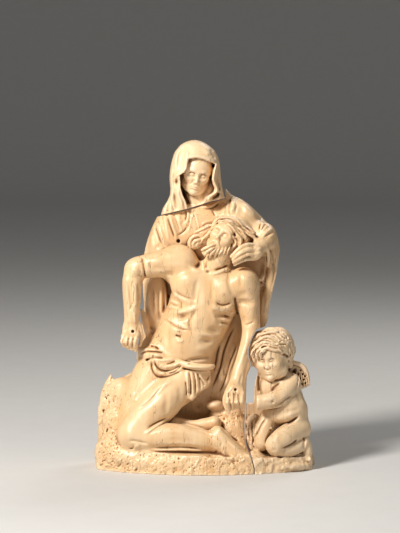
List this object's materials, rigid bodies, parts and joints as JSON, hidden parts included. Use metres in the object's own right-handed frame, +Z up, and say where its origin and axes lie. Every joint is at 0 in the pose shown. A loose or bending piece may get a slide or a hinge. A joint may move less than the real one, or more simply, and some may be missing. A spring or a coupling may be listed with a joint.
{
  "type": "carved ivory relief group",
  "caption": "Carved ivory high-relief group with a flat back: a veiled seated mourner holds a dead man across their knees while a small winged cherub kneels beside them.",
  "frame": {"origin": "middle of the flat underside of the base, on the plane it stands on", "axes": "+Z up, front faces -Y, flat back faces +Y, +X to the viewer's right"},
  "size_m": [0.108, 0.044, 0.1638],
  "materials": {
    "main_ivory": "polished old ivory, honey patina in the recesses",
    "head_ivory": "polished old ivory, honey patina in the recesses",
    "cherub_ivory": "slightly drier old ivory, worn and chipped"
  },
  "bodies": {
    "root": {"main_block": "main_ivory", "veiled_head": "head_ivory", "kneeling_cherub": "cherub_ivory"}
  },
  "joints": []
}
